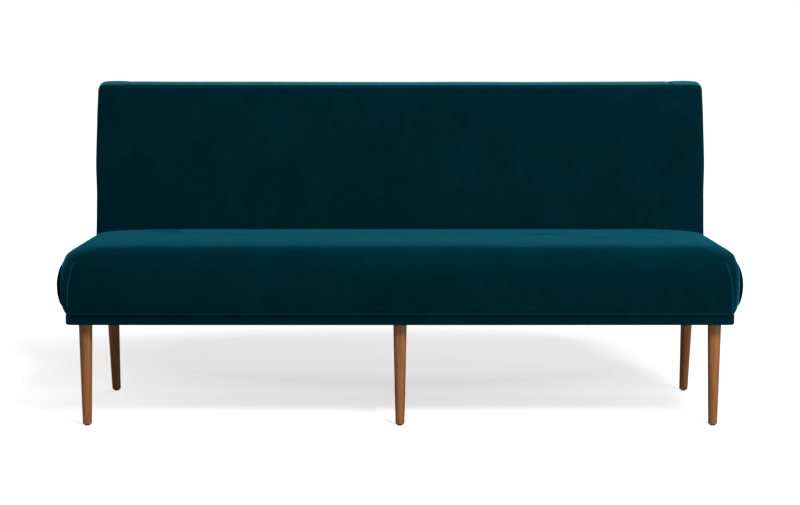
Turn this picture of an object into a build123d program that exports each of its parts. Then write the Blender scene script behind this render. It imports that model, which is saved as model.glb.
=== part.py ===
from build123d import *
import os
from math import cos, radians, sin, tan

os.makedirs("parts", exist_ok=True)

# An upholstered dining bench without arms, in millimetres. +X runs along the bench to the right of a
# sitter's view from the front, +Y runs from the front to the back and +Z is up. The origin lies on
# the floor, below the middle of the bench's whole width and depth.

# Overall sizes
base_width = 1734.0
base_depth = 552.0
floor_gap = 271.0
overall_height = 888.0
back_thickness = 97.0
back_rake_angle = 11.3

# Upholstery
cover_thickness = 3.0
seam_gap = 0.5
seat_to_back_gap = 2.5
pad_gap = 0.3
band_height = 28.0
band_thickness = 10.0
band_corner_radius = 20.0
band_edge_radius = 4.0
dust_cover_thickness = 1.0
seat_rise = 180.0
seat_side_swell = 34.0
seat_front_swell = 26.0
seat_front_crown = 4.0
seat_corner_radius = 38.0
seat_rear_corner_radius = 14.0
end_panel_setback = 52.0
end_panel_rear_margin = 40.0
end_panel_height = 124.0
end_panel_radius = 62.0
back_end_setback = 4.0
back_side_swell = 4.5
back_face_crown = 7.0
back_front_corner_radius = 16.0
back_rear_corner_radius = 10.0
back_top_roll = 19.0
back_face_seam_inset = 7.0
back_rear_seam_inset = 9.0
back_end_boxing_width = 88.0

# Frame
rail_thickness = 25.0
rail_height = 100.0
cross_rail_height = 60.0
cross_rail_place_share = 0.525
block_length = 90.0
block_height = 40.0
post_depth = 50.0
upright_depth = 30.0
upright_width = 40.0
side_upright_place_share = 0.494
top_rail_height = 25.0
top_padding = 17.0
tack_rail_height = 50.0
tack_rail_lift = 60.0
outside_board_thickness = 4.4
strap_width = 50.0
strap_thickness = 2.0
strap_count = 5

# Springs
spring_count = 12
spring_end_margin = 89.5
spring_wire_diameter = 3.8
spring_bends = 24
spring_half_straight = 14.0
clip_wall = 2.0
clip_length = 18.0
clip_depth = 10.0
deck_clip_gap = 10.0
deck_thickness = 2.0

# Legs and their fittings
leg_end_inset = 47.0
leg_setback = 46.0
leg_top_diameter = 35.5
leg_foot_diameter = 24.0
leg_chamfer = 2.5
rear_leg_rake_angle = 9.9
dust_cover_leg_clearance = 1.0
glide_diameter = 14.5
glide_height = 3.0
glide_edge_radius = 0.8
glide_pin_diameter = 3.0
glide_pin_length = 12.0
hanger_bolt_diameter = 8.0
hanger_bolt_depth = 30.0
hanger_bolt_reach = 37.0
t_nut_flange_diameter = 20.0
t_nut_flange_thickness = 1.6
t_nut_barrel_diameter = 11.0
t_nut_barrel_length = 9.0
t_nut_recess = 1.5
fit_clearance = 0.1
screw_diameter = 5.0
screw_head_diameter = 10.0
screw_head_height = 3.0
screw_length = 50.0
screw_offset = 20.0
screw_level_step = 7.5
screw_sink = 1.5
post_screw_lifts = (45.0, 80.0)

# One overrun serves every cut that passes a surface.
overrun = 20.0

# Each row of these hand-chosen shares is one level of the seat's padding: the share of its rise, of
# its swell past the base, of its draw-in over the crown, and of its corner radius.
seat_level_shares = [
    (0.0, 0.0, 0.0, 0.55),
    (0.11, 0.55, 0.0, 0.85),
    (0.24, 0.82, 0.0, 0.95),
    (0.36, 0.97, 0.0, 1.0),
    (0.48, 1.0, 0.0, 1.05),
    (0.60, 0.94, 0.0, 1.1),
    (0.69, 0.74, 0.0, 1.2),
    (0.77, 0.42, 0.0, 1.35),
    (0.84, 0.0, 0.0, 1.5),
    (0.90, 0.0, 0.12, 1.8),
    (0.95, 0.0, 0.28, 2.2),
    (0.98, 0.0, 0.52, 2.7),
    (1.0, 0.0, 1.0, 3.6),
]
seat_crown_draw = 120.0

# Each row is one level of the back's padding: the share of its rise below the top roll, and of its
# swell at the sides and in front.
back_level_shares = [(0.0, 0.0), (0.22, 0.1), (0.45, 0.6), (0.64, 1.0), (0.84, 0.8), (1.0, 0.45)]
back_roll_angles = [22, 45, 68, 90]

upwards = (Align.CENTER, Align.CENTER, Align.MIN)

# Heights and depths that follow from the sizes above
frame_bottom = floor_gap + dust_cover_thickness
rail_top = frame_bottom + rail_height
seat_bottom = floor_gap + band_height + seam_gap
back_rise = overall_height - seat_bottom
roll_start = overall_height - back_top_roll
back_half_width = base_width / 2 - back_end_setback
wire_radius = spring_wire_diameter / 2
wire_level = rail_top + clip_wall + wire_radius
deck_level = wire_level + wire_radius
clip_height = 2 * (clip_wall + wire_radius)
pad_bottom = rail_top + clip_height + pad_gap
post_top = overall_height - cover_thickness - top_padding - top_rail_height
leg_spacing = base_width / 2 - leg_end_inset
outer_cross_rail_place = cross_rail_place_share * leg_spacing
side_upright_place = side_upright_place_share * leg_spacing
t_nut_seat = hanger_bolt_reach - t_nut_flange_thickness - t_nut_recess


def lean(height):
    """How far the raked back has moved to the rear at a height, from the base's lower edge."""
    return (height - floor_gap) * tan(radians(back_rake_angle))


overall_depth = seat_front_crown + seat_front_swell + base_depth + lean(roll_start)
base_front = seat_front_crown + seat_front_swell - overall_depth / 2
base_rear = base_front + base_depth
frame_half_width = base_width / 2 - band_thickness
frame_front = base_front + band_thickness
post_inner = frame_half_width - rail_thickness
rail_inner_front = frame_front + rail_thickness


def back_rear(height):
    """The outside of the back's rear cover at a height."""
    return base_rear + lean(height)


def back_front(height):
    """The outside of the back's front cover at a height, without its crown."""
    return back_rear(height) - back_thickness


def frame_rear(height):
    """The rear faces of the posts, uprights and rear rail at a height."""
    return base_rear - band_thickness + lean(height)


def save(piece, name):
    """Labels a finished piece and writes it."""
    piece.part.label = name
    export_step(piece.part, f"parts/{name}.step")


# Frame pieces

def box_between(low, high):
    """A block from its lowest to its highest corner."""
    with BuildPart() as block:
        with BuildSketch(Plane.XY.offset(low[2])):
            with Locations(((low[0] + high[0]) / 2, (low[1] + high[1]) / 2)):
                Rectangle(high[0] - low[0], high[1] - low[1])
        extrude(amount=high[2] - low[2])
    return block


def side_cut_board(left, right, corners):
    """A board with its outline in the YZ plane, cut from x = left to x = right."""
    with BuildPart() as board:
        with BuildSketch(Plane.YZ.offset(left)):
            with BuildLine():
                Polyline(*corners, close=True)
            make_face()
        extrude(amount=right - left)
    return board


def leaning_board(left, right, bottom, top, front_offset, rear_offset):
    """A board that leans with the back, between two offsets from the posts' rear faces."""
    corners = [
        (frame_rear(bottom) - front_offset, bottom),
        (frame_rear(bottom) - rear_offset, bottom),
        (frame_rear(top) - rear_offset, top),
        (frame_rear(top) - front_offset, top),
    ]
    return side_cut_board(left, right, corners)


def fore_and_aft_board(left, right, bottom, top, front, rear_offset):
    """A board along Y with an upright front end and a leaning rear end."""
    corners = [
        (front, bottom),
        (frame_rear(bottom) - rear_offset, bottom),
        (frame_rear(top) - rear_offset, top),
        (front, top),
    ]
    return side_cut_board(left, right, corners)


# The six legs: name, middle in X, middle in Y where the leg meets the frame, and rake
front_leg_y = base_front + leg_setback
rear_leg_y = base_rear - leg_setback
legs = []
for side, x_place in (("left", -leg_spacing), ("centre", 0.0), ("right", leg_spacing)):
    legs.append((f"front_{side}", x_place, front_leg_y, 0.0))
    legs.append((f"rear_{side}", x_place, rear_leg_y, rear_leg_rake_angle))


def leg_plane(x_place, y_place, rake):
    """A plane square to a leg's axis, on the underside of the frame."""
    tilt = radians(rake)
    return Plane(origin=(x_place, y_place, frame_bottom), x_dir=(1, 0, 0), z_dir=(0, -sin(tilt), cos(tilt)))


def block_low_x(x_place):
    """The low X face of the leg block at a leg: inside the side rails, or centred on the bench."""
    if x_place < 0:
        return -post_inner
    if x_place > 0:
        return post_inner - block_length
    return -block_length / 2


# Screws: three rows of places, each a plane at the head's face that looks into the wood
def screw_places(name, x_place):
    """The screws that hold one leg block to its rails."""
    low_x = block_low_x(x_place)
    middle_x = low_x + block_length / 2
    middle_z = frame_bottom + block_height / 2
    rail_level = middle_z + screw_level_step
    side_level = middle_z - screw_level_step
    places = []
    for step in (-screw_offset, screw_offset):
        if name.startswith("front"):
            head_face = frame_front + screw_sink
            places.append(Plane(origin=(middle_x + step, head_face, rail_level), z_dir=(0, 1, 0)))
            middle_y = rail_inner_front + block_length / 2
        else:
            head_face = frame_rear(rail_level) - screw_sink
            places.append(Plane(origin=(middle_x + step, head_face, rail_level), z_dir=(0, -1, 0)))
            block_front = frame_rear(frame_bottom) - rail_thickness - block_length
            middle_y = (block_front + frame_rear(frame_bottom) - post_depth) / 2
        if x_place:
            inward = -1 if x_place > 0 else 1
            face_x = -inward * (frame_half_width - screw_sink)
            places.append(Plane(origin=(face_x, middle_y + step, side_level), z_dir=(inward, 0, 0)))
    return places


block_screw_places = []
for leg_name, leg_x, leg_y, leg_rake in legs:
    block_screw_places.extend(screw_places(leg_name, leg_x))

# Screws through the posts into the ends of the rear rail
post_screw_places = []
for side in (-1, 1):
    for lift in post_screw_lifts:
        screw_level = frame_bottom + lift
        screw_y = frame_rear(screw_level) - rail_thickness / 2
        head_place = (side * (frame_half_width - screw_sink), screw_y, screw_level)
        post_screw_places.append(Plane(origin=head_place, z_dir=(-side, 0, 0)))


def screw_shape(extra, mode):
    """A countersunk screw from its head down, larger all round by an extra."""
    head_radius = screw_head_diameter / 2 + extra
    shank_radius = screw_diameter / 2 + extra
    Cone(head_radius, shank_radius, screw_head_height, align=upwards, mode=mode)
    Cylinder(shank_radius, screw_length + extra, align=upwards, mode=mode)


def cut_screws(board, places):
    """The same board with the screws' holes, sunk past its face by an overrun."""
    with BuildPart() as drilled:
        add(board.part)
        with Locations(*places):
            screw_shape(fit_clearance, Mode.SUBTRACT)
            head_radius = screw_head_diameter / 2 + fit_clearance
            Cylinder(head_radius, overrun, align=(Align.CENTER, Align.CENTER, Align.MAX), mode=Mode.SUBTRACT)
    return drilled


def places_along(places, axis):
    """The screw places that look along one axis."""
    return [place for place in places if abs(place.z_dir.dot(Vector(axis))) > 0.5]


def on_side(places, side):
    """The screw places on the left or right half of the bench."""
    return [place for place in places if place.origin.X * side > 0]


front_and_rear_screws = places_along(block_screw_places, (0, 1, 0))
side_screws = places_along(block_screw_places, (1, 0, 0))
front_screws = [place for place in front_and_rear_screws if place.z_dir.Y > 0]
rear_screws = [place for place in front_and_rear_screws if place.z_dir.Y < 0]

# The seat frame's rails
front_rail = box_between(
    (-frame_half_width, frame_front, frame_bottom), (frame_half_width, rail_inner_front, rail_top)
)
save(cut_screws(front_rail, front_screws), "seat_front_rail")

rear_rail = leaning_board(-post_inner, post_inner, frame_bottom, rail_top, rail_thickness, 0)
save(cut_screws(rear_rail, rear_screws + post_screw_places), "seat_rear_rail")

for side_name, side in (("left", -1), ("right", 1)):
    rail_faces = sorted((side * post_inner, side * frame_half_width))
    side_rail = fore_and_aft_board(*rail_faces, frame_bottom, rail_top, rail_inner_front, post_depth)
    post = leaning_board(*rail_faces, frame_bottom, post_top, post_depth, 0)
    save(cut_screws(side_rail, on_side(side_screws, side)), f"seat_{side_name}_rail")
    save(cut_screws(post, on_side(post_screw_places, side)), f"back_post_{side_name}")

# Cross rails: one at each side, and a pair that holds the middle leg blocks between them
outer_cross_rail_low = outer_cross_rail_place - rail_thickness / 2
outer_cross_rail_high = outer_cross_rail_place + rail_thickness / 2
cross_rail_faces = {
    "left_outer": (-outer_cross_rail_high, -outer_cross_rail_low),
    "left_inner": (-block_length / 2 - rail_thickness, -block_length / 2),
    "right_inner": (block_length / 2, block_length / 2 + rail_thickness),
    "right_outer": (outer_cross_rail_low, outer_cross_rail_high),
}
for rail_name, (rail_left, rail_right) in cross_rail_faces.items():
    cross_rail_top = frame_bottom + cross_rail_height
    cross_rail = fore_and_aft_board(
        rail_left, rail_right, frame_bottom, cross_rail_top, rail_inner_front, rail_thickness
    )
    save(cross_rail, f"seat_cross_rail_{rail_name}")


# Leg blocks, each drilled for its hanger bolt, T-nut and screws
def leg_block(name, x_place, y_place, rake):
    """The glued block over one leg."""
    low_x = block_low_x(x_place)
    block_top = frame_bottom + block_height
    if name.startswith("front"):
        front = rail_inner_front
        rough = box_between(
            (low_x, front, frame_bottom), (low_x + block_length, front + block_length, block_top)
        )
    else:
        front = frame_rear(frame_bottom) - rail_thickness - block_length
        rough = fore_and_aft_board(low_x, low_x + block_length, frame_bottom, block_top, front, rail_thickness)
    with BuildPart() as block:
        add(cut_screws(rough, screw_places(name, x_place)).part)
        with Locations(leg_plane(x_place, y_place, rake)):
            hole_radius = hanger_bolt_diameter / 2 + fit_clearance
            Cylinder(hole_radius, 2 * block_height + overrun, mode=Mode.SUBTRACT)
        barrel_start = t_nut_seat - t_nut_barrel_length
        with Locations(leg_plane(x_place, y_place, rake).offset(barrel_start)):
            barrel_radius = t_nut_barrel_diameter / 2 + fit_clearance
            Cylinder(barrel_radius, block_height, align=upwards, mode=Mode.SUBTRACT)
        with Locations(leg_plane(x_place, y_place, rake).offset(t_nut_seat)):
            flange_radius = t_nut_flange_diameter / 2 + fit_clearance
            Cylinder(flange_radius, block_height, align=upwards, mode=Mode.SUBTRACT)
    return block


for leg_name, leg_x, leg_y, leg_rake in legs:
    save(leg_block(leg_name, leg_x, leg_y, leg_rake), f"leg_block_{leg_name}")

# The back frame between its posts
upright_faces = {
    "left": (-side_upright_place - upright_width / 2, -side_upright_place + upright_width / 2),
    "centre": (-upright_width / 2, upright_width / 2),
    "right": (side_upright_place - upright_width / 2, side_upright_place + upright_width / 2),
}
for upright_name, (upright_left, upright_right) in upright_faces.items():
    upright = leaning_board(upright_left, upright_right, rail_top, post_top, upright_depth, 0)
    save(upright, f"back_upright_{upright_name}")

top_rail = leaning_board(
    -frame_half_width, frame_half_width, post_top, post_top + top_rail_height, post_depth, 0
)
save(top_rail, "back_top_rail")

tack_rail_bottom = rail_top + tack_rail_lift
tack_rail = leaning_board(
    -post_inner, post_inner, tack_rail_bottom, tack_rail_bottom + tack_rail_height, post_depth, upright_depth
)
save(tack_rail, "back_tack_rail")

# Screws in one node, each its own solid
with BuildPart() as frame_screws:
    with Locations(*block_screw_places, *post_screw_places):
        screw_shape(0, Mode.ADD)
save(frame_screws, "frame_screws")

# Elastic straps across the back's posts
with BuildPart() as back_webbing:
    strap_room = post_top - tack_rail_bottom - tack_rail_height
    for strap in range(strap_count):
        strap_bottom = tack_rail_bottom + tack_rail_height + (strap + 0.5) * strap_room / strap_count
        strap_low = strap_bottom - strap_width / 2
        strap_high = strap_bottom + strap_width / 2
        with BuildSketch(Plane.YZ.offset(-frame_half_width)):
            with BuildLine():
                strap_front = post_depth + strap_thickness
                Polyline(
                    (frame_rear(strap_low) - strap_front, strap_low),
                    (frame_rear(strap_low) - post_depth, strap_low),
                    (frame_rear(strap_high) - post_depth, strap_high),
                    (frame_rear(strap_high) - strap_front, strap_high),
                    close=True,
                )
            make_face()
        extrude(amount=2 * frame_half_width)
save(back_webbing, "back_webbing")

# The stiff board that the outside back is stretched over
board_bottom = seat_bottom
board_top = post_top + top_rail_height
board_rear = -outside_board_thickness
outside_board = leaning_board(-frame_half_width, frame_half_width, board_bottom, board_top, 0, board_rear)
save(outside_board, "outside_back_board")

# Sinuous seat springs from the front rail to the rear rail, in the clips on the rails
spring_front = frame_front + rail_thickness / 2
spring_rear = frame_rear(rail_top) - rail_thickness / 2
bend_radius = (spring_rear - spring_front) / (2 * spring_bends)
spring_spacing = 2 * (post_inner - spring_end_margin) / (spring_count - 1)
spring_x_places = [
    (number - (spring_count - 1) / 2) * spring_spacing for number in range(spring_count)
]


def sinuous_spring():
    """One zigzag spring on the YZ plane's origin line, in the plane of the wire."""
    with BuildPart() as spring:
        with BuildLine(Plane.XY.offset(wire_level)) as path:
            side = 1
            Line((-spring_half_straight, spring_front), (spring_half_straight, spring_front))
            for bend in range(spring_bends):
                bend_middle = spring_front + (2 * bend + 1) * bend_radius
                bend_end = bend_middle + bend_radius
                outer_x = side * (spring_half_straight + bend_radius)
                start = (side * spring_half_straight, bend_middle - bend_radius)
                end = (side * spring_half_straight, bend_end)
                ThreePointArc(start, (outer_x, bend_middle), end)
                Line(end, (-side * spring_half_straight, bend_end))
                side = -side
        with BuildSketch(Plane(origin=path.line @ 0, z_dir=path.line % 0)):
            Circle(wire_radius)
        sweep()
    return spring


one_spring = sinuous_spring()
with BuildPart() as seat_springs:
    for spring_x in spring_x_places:
        with Locations((spring_x, 0, 0)):
            add(one_spring.part)
save(seat_springs, "seat_springs")

# Each clip is a block on the rail with a bore for the wire's end run.
with BuildPart() as spring_clips:
    clip_places = []
    for spring_x in spring_x_places:
        clip_places.append((spring_x, spring_front, rail_top))
        clip_places.append((spring_x, spring_rear, rail_top))
    with Locations(*clip_places):
        Box(clip_length, clip_depth, clip_height, align=upwards)
    with Locations(*[(x, y, wire_level) for x, y, z in clip_places]):
        Cylinder(wire_radius + fit_clearance, clip_length + overrun, rotation=(0, 90, 0), mode=Mode.SUBTRACT)
save(spring_clips, "spring_clips")

# Burlap deck over the springs, between the rails' clips
deck_front = spring_front + clip_depth / 2 + deck_clip_gap
deck_rear = frame_rear(deck_level) - post_depth - seam_gap
deck = box_between(
    (-post_inner + seam_gap, deck_front, deck_level),
    (post_inner - seam_gap, deck_rear, deck_level + deck_thickness),
)
save(deck, "seat_deck_cloth")


# Padded forms
def plan_outline(level, half_width, front, rear, front_radius, rear_radius, crown):
    """A level outline in plan: a bowed front edge, rounded corners, straight sides and rear."""
    left_end = (-half_width + front_radius, front)
    right_end = (half_width - front_radius, front)
    with BuildSketch(Plane.XY.offset(level)) as outline:
        with BuildLine():
            CenterArc((-half_width + front_radius, front + front_radius), front_radius, 180, 90)
            if crown:
                ThreePointArc(left_end, (0, front - crown), right_end)
            else:
                Line(left_end, right_end)
            CenterArc((half_width - front_radius, front + front_radius), front_radius, 270, 90)
            Line((half_width, front + front_radius), (half_width, rear - rear_radius))
            CenterArc((half_width - rear_radius, rear - rear_radius), rear_radius, 0, 90)
            Line((half_width - rear_radius, rear), (-half_width + rear_radius, rear))
            CenterArc((-half_width + rear_radius, rear - rear_radius), rear_radius, 90, 90)
            Line((-half_width, rear - rear_radius), (-half_width, front + front_radius))
        make_face()
    return outline.sketch.face()


def seat_form(inset, rear_reach):
    """The seat's padding, drawn in by an inset and reaching past the back's front plane."""
    outlines = []
    for rise_share, swell_share, draw_share, corner_share in seat_level_shares:
        level = seat_bottom + rise_share * (seat_rise - inset)
        draw = draw_share * seat_crown_draw + inset
        half_width = base_width / 2 + swell_share * seat_side_swell - draw
        front = base_front - swell_share * seat_front_swell + draw
        rear = back_front(level) - seat_to_back_gap + rear_reach
        corner = corner_share * seat_corner_radius - inset
        rear_corner = seat_rear_corner_radius - inset
        crown = swell_share * seat_front_crown
        outlines.append(plan_outline(level, half_width, front, rear, corner, rear_corner, crown))
    with BuildPart() as form:
        loft(outlines, ruled=True)
    return form


def back_outline(level, swell_share, inset, draw):
    """The back's padding at one level, drawn in from its outside by more than its inset."""
    half_width = back_half_width + swell_share * back_side_swell - draw
    front = back_front(level) + draw
    rear = back_rear(level) - draw
    front_radius = back_front_corner_radius - inset
    rear_radius = back_rear_corner_radius - inset
    crown = swell_share * back_face_crown
    return plan_outline(level, half_width, front, rear, front_radius, rear_radius, crown)


def back_form(inset):
    """The back's padding from the seat's underside to the top roll, drawn in by an inset."""
    body = []
    for rise_share, swell_share in back_level_shares:
        level = seat_bottom + rise_share * (roll_start - seat_bottom)
        body.append(back_outline(level, swell_share, inset, inset))
    roll = back_top_roll - inset
    top = [body[-1]]
    for angle in back_roll_angles:
        level = roll_start + roll * sin(radians(angle))
        draw = inset + roll * (1 - cos(radians(angle)))
        top.append(back_outline(level, back_level_shares[-1][1], inset, draw))
    with BuildPart() as form:
        loft(body)
        loft(top, ruled=True)
    return form


# Seat cover: a shell over the foam, with a sewn-in panel at each end
seat_outside = seat_form(0, 0)
seat_inside = seat_form(cover_thickness, overrun)
seat_foam_outside = seat_form(cover_thickness + pad_gap, 0)

panel_front = base_front + end_panel_setback
panel_rear = back_front(seat_bottom) - end_panel_rear_margin


def end_panel_block(side, gap):
    """The room of one end panel, smaller all round by a gap, as a block across the seat's side."""
    with BuildPart() as room:
        with BuildSketch(Plane.YZ.offset(side * post_inner)):
            with Locations(((panel_front + panel_rear) / 2, seat_bottom)):
                panel_length = panel_rear - panel_front - 2 * gap
                panel_height = 2 * (end_panel_height - gap)
                RectangleRounded(panel_length, panel_height, end_panel_radius - gap)
        extrude(amount=side * (rail_thickness + band_thickness + seat_side_swell + overrun))
    return room


with BuildPart() as seat_top_cover:
    add(seat_outside.part)
    add(seat_inside.part, mode=Mode.SUBTRACT)
    for side in (-1, 1):
        add(end_panel_block(side, 0).part, mode=Mode.SUBTRACT)
save(seat_top_cover, "seat_top_cover")

for side_name, side in (("left", -1), ("right", 1)):
    with BuildPart() as end_panel:
        add(seat_outside.part)
        add(seat_inside.part, mode=Mode.SUBTRACT)
        add(end_panel_block(side, seam_gap / 2).part, mode=Mode.INTERSECT)
    save(end_panel, f"seat_end_panel_{side_name}")

# Seat foam: over the springs, and down over the outsides of the rails
frame_room = box_between(
    (-frame_half_width - pad_gap, frame_front - pad_gap, seat_bottom - overrun),
    (frame_half_width + pad_gap, back_rear(pad_bottom), pad_bottom),
)
with BuildPart() as seat_foam:
    add(seat_foam_outside.part)
    add(frame_room.part, mode=Mode.SUBTRACT)
save(seat_foam, "seat_foam")

# Back foam: in front of the straps, over the top rail and down the posts' outer sides
back_outside = back_form(0)
back_inside = back_form(cover_thickness)
back_foam_outside = back_form(cover_thickness + pad_gap)
back_frame_room = leaning_board(
    -frame_half_width - pad_gap,
    frame_half_width + pad_gap,
    seat_bottom - overrun,
    board_top + pad_gap,
    post_depth + strap_thickness + pad_gap,
    -back_thickness,
)
below_pad = box_between(
    (-base_width, -base_depth, seat_bottom - overrun), (base_width, 2 * base_depth, pad_bottom)
)
with BuildPart() as back_foam:
    add(back_foam_outside.part)
    add(back_frame_room.part, mode=Mode.SUBTRACT)
    add(below_pad.part, mode=Mode.SUBTRACT)
save(back_foam, "back_foam")


def leaning_slab(front_inset, rear_inset):
    """A slab wider and taller than the back, between two insets from its front and rear planes."""
    low = seat_bottom - overrun
    high = overall_height + overrun
    corners = [
        (back_front(low) + front_inset, low),
        (back_rear(low) - rear_inset, low),
        (back_rear(high) - rear_inset, high),
        (back_front(high) + front_inset, high),
    ]
    return side_cut_board(-base_width, base_width, corners)


def back_shell_piece(room, cuts):
    """The part of the back's cover inside one room, less some cuts."""
    with BuildPart() as piece:
        add(back_outside.part)
        add(back_inside.part, mode=Mode.SUBTRACT)
        add(room.part, mode=Mode.INTERSECT)
        for cut in cuts:
            add(cut.part, mode=Mode.SUBTRACT)
    return piece


# Inside back: the front face, from where it tucks in behind the seat up to its seam on the roll
past_front = -back_face_crown - overrun
front_slab = leaning_slab(past_front, back_thickness - back_face_seam_inset)
save(back_shell_piece(front_slab, [below_pad]), "inside_back_cover")

# Outside back: the rear face
rear_slab = leaning_slab(back_thickness - back_rear_seam_inset, -overrun)
save(back_shell_piece(rear_slab, []), "outside_back_cover")

# Boxing between the two: a strip along the top, and one down each end with its own top seam
half_seam = seam_gap / 2
boxing_slab = leaning_slab(back_face_seam_inset + half_seam, back_rear_seam_inset + half_seam)
top_seam_place = back_half_width - back_end_boxing_width
middle_room = box_between(
    (-top_seam_place, -base_depth, seat_bottom - overrun),
    (top_seam_place, 2 * base_depth, overall_height + overrun),
)
with BuildPart() as top_boxing_room:
    add(boxing_slab.part)
    add(middle_room.part, mode=Mode.INTERSECT)
save(back_shell_piece(top_boxing_room, []), "back_top_boxing")

rail_room = box_between(
    (-frame_half_width - pad_gap, -base_depth, seat_bottom - overrun),
    (frame_half_width + pad_gap, 2 * base_depth, pad_bottom),
)
for side_name, side in (("left", -1), ("right", 1)):
    end_faces = sorted((side * (top_seam_place + seam_gap), side * base_width))
    end_room = box_between(
        (end_faces[0], -base_depth, seat_bottom - overrun),
        (end_faces[1], 2 * base_depth, overall_height + overrun),
    )
    with BuildPart() as end_boxing_room:
        add(boxing_slab.part)
        add(end_room.part, mode=Mode.INTERSECT)
    save(back_shell_piece(end_boxing_room, [rail_room]), f"back_end_boxing_{side_name}")

# The padded band round the base, in one ring over the rails' lower edges
with BuildPart() as base_band:
    with BuildSketch(Plane.XY.offset(floor_gap)):
        with Locations((0, base_front + base_depth / 2)):
            RectangleRounded(base_width, base_depth, band_corner_radius)
    extrude(amount=band_height)
    outer_edges = base_band.faces().filter_by(Axis.Z).edges()
    fillet(outer_edges, band_edge_radius)
    with BuildSketch(Plane.XY.offset(floor_gap)):
        with Locations((0, base_front + base_depth / 2)):
            Rectangle(2 * frame_half_width, base_depth - 2 * band_thickness)
    extrude(amount=band_height, mode=Mode.SUBTRACT)
    rail_clearance = leaning_board(
        -frame_half_width, frame_half_width, floor_gap - overrun, rail_top, overrun, 0
    )
    add(rail_clearance.part, mode=Mode.SUBTRACT)
save(base_band, "base_band")

# Black cloth under the frame, with a hole for each leg
with BuildPart() as dust_cover:
    with BuildSketch(Plane.XY.offset(floor_gap)):
        with Locations((0, base_front + base_depth / 2)):
            Rectangle(2 * (frame_half_width - seam_gap), base_depth - 2 * (band_thickness + seam_gap))
        with Locations(*[(leg_x, leg_y) for leg_name, leg_x, leg_y, leg_rake in legs]):
            Circle(leg_top_diameter / 2 + dust_cover_leg_clearance, mode=Mode.SUBTRACT)
    extrude(amount=dust_cover_thickness)
save(dust_cover, "dust_cover")


# Legs, turned with a straight taper and cut level at both ends
def turned_leg(x_place, y_place, rake):
    """One leg with its hanger bolt's pilot hole and its glide's pin hole."""
    plane = leg_plane(x_place, y_place, rake)
    tilt = radians(rake)
    length = (frame_bottom - glide_height) / cos(tilt)
    growth = (leg_top_diameter - leg_foot_diameter) / 2 / length
    foot_radius = leg_foot_diameter / 2 - growth * overrun
    top_radius = leg_top_diameter / 2 + growth * overrun
    foot = foot_place(x_place, y_place, rake)
    with BuildPart(plane.offset(-length - overrun)) as blank:
        Cone(foot_radius, top_radius, length + 2 * overrun, align=upwards)
    with BuildPart() as leg:
        add(blank.part)
        split(bisect_by=Plane.XY.offset(frame_bottom), keep=Keep.BOTTOM)
        split(bisect_by=Plane.XY.offset(glide_height), keep=Keep.TOP)
        chamfer(leg.faces().sort_by(Axis.Z)[0].edges(), leg_chamfer)
        with Locations(plane):
            pilot_radius = hanger_bolt_diameter / 2 + fit_clearance
            pilot_length = 2 * (hanger_bolt_depth + fit_clearance)
            Cylinder(pilot_radius, pilot_length, mode=Mode.SUBTRACT)
        with Locations((foot[0], foot[1], glide_height)):
            pin_radius = glide_pin_diameter / 2 + fit_clearance
            pin_length = 2 * (glide_pin_length + fit_clearance)
            Cylinder(pin_radius, pin_length, mode=Mode.SUBTRACT)
    return leg


def foot_place(x_place, y_place, rake):
    """Where a leg's axis meets its glide."""
    return (x_place, y_place + (frame_bottom - glide_height) * tan(radians(rake)))


for leg_name, leg_x, leg_y, leg_rake in legs:
    save(turned_leg(leg_x, leg_y, leg_rake), f"leg_{leg_name}")

# A nail-on glide under each leg
for leg_name, leg_x, leg_y, leg_rake in legs:
    with BuildPart() as glide:
        with Locations((*foot_place(leg_x, leg_y, leg_rake), 0)):
            Cylinder(glide_diameter / 2, glide_height, align=upwards)
        fillet(glide.faces().sort_by(Axis.Z)[0].edges(), glide_edge_radius)
        with Locations((*foot_place(leg_x, leg_y, leg_rake), 0)):
            Cylinder(glide_pin_diameter / 2, glide_height + glide_pin_length, align=upwards)
    save(glide, f"glide_{leg_name}")

# Hanger bolts and T-nuts along each leg's axis
with BuildPart() as hanger_bolts:
    for leg_name, leg_x, leg_y, leg_rake in legs:
        with Locations(leg_plane(leg_x, leg_y, leg_rake).offset(-hanger_bolt_depth)):
            Cylinder(hanger_bolt_diameter / 2, hanger_bolt_depth + hanger_bolt_reach, align=upwards)
save(hanger_bolts, "leg_hanger_bolts")

with BuildPart() as t_nuts:
    for leg_name, leg_x, leg_y, leg_rake in legs:
        plane = leg_plane(leg_x, leg_y, leg_rake)
        with Locations(plane.offset(t_nut_seat)):
            Cylinder(t_nut_flange_diameter / 2, t_nut_flange_thickness, align=upwards)
        with Locations(plane.offset(t_nut_seat - t_nut_barrel_length)):
            Cylinder(t_nut_barrel_diameter / 2, t_nut_barrel_length, align=upwards)
    for leg_name, leg_x, leg_y, leg_rake in legs:
        with Locations(leg_plane(leg_x, leg_y, leg_rake)):
            bore_radius = hanger_bolt_diameter / 2 + fit_clearance
            Cylinder(bore_radius, 2 * block_height + overrun, mode=Mode.SUBTRACT)
save(t_nuts, "leg_t_nuts")
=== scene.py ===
import math

import bpy
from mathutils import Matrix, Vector, noise
from mathutils.bvhtree import BVHTree
from mathutils.kdtree import KDTree


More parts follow.
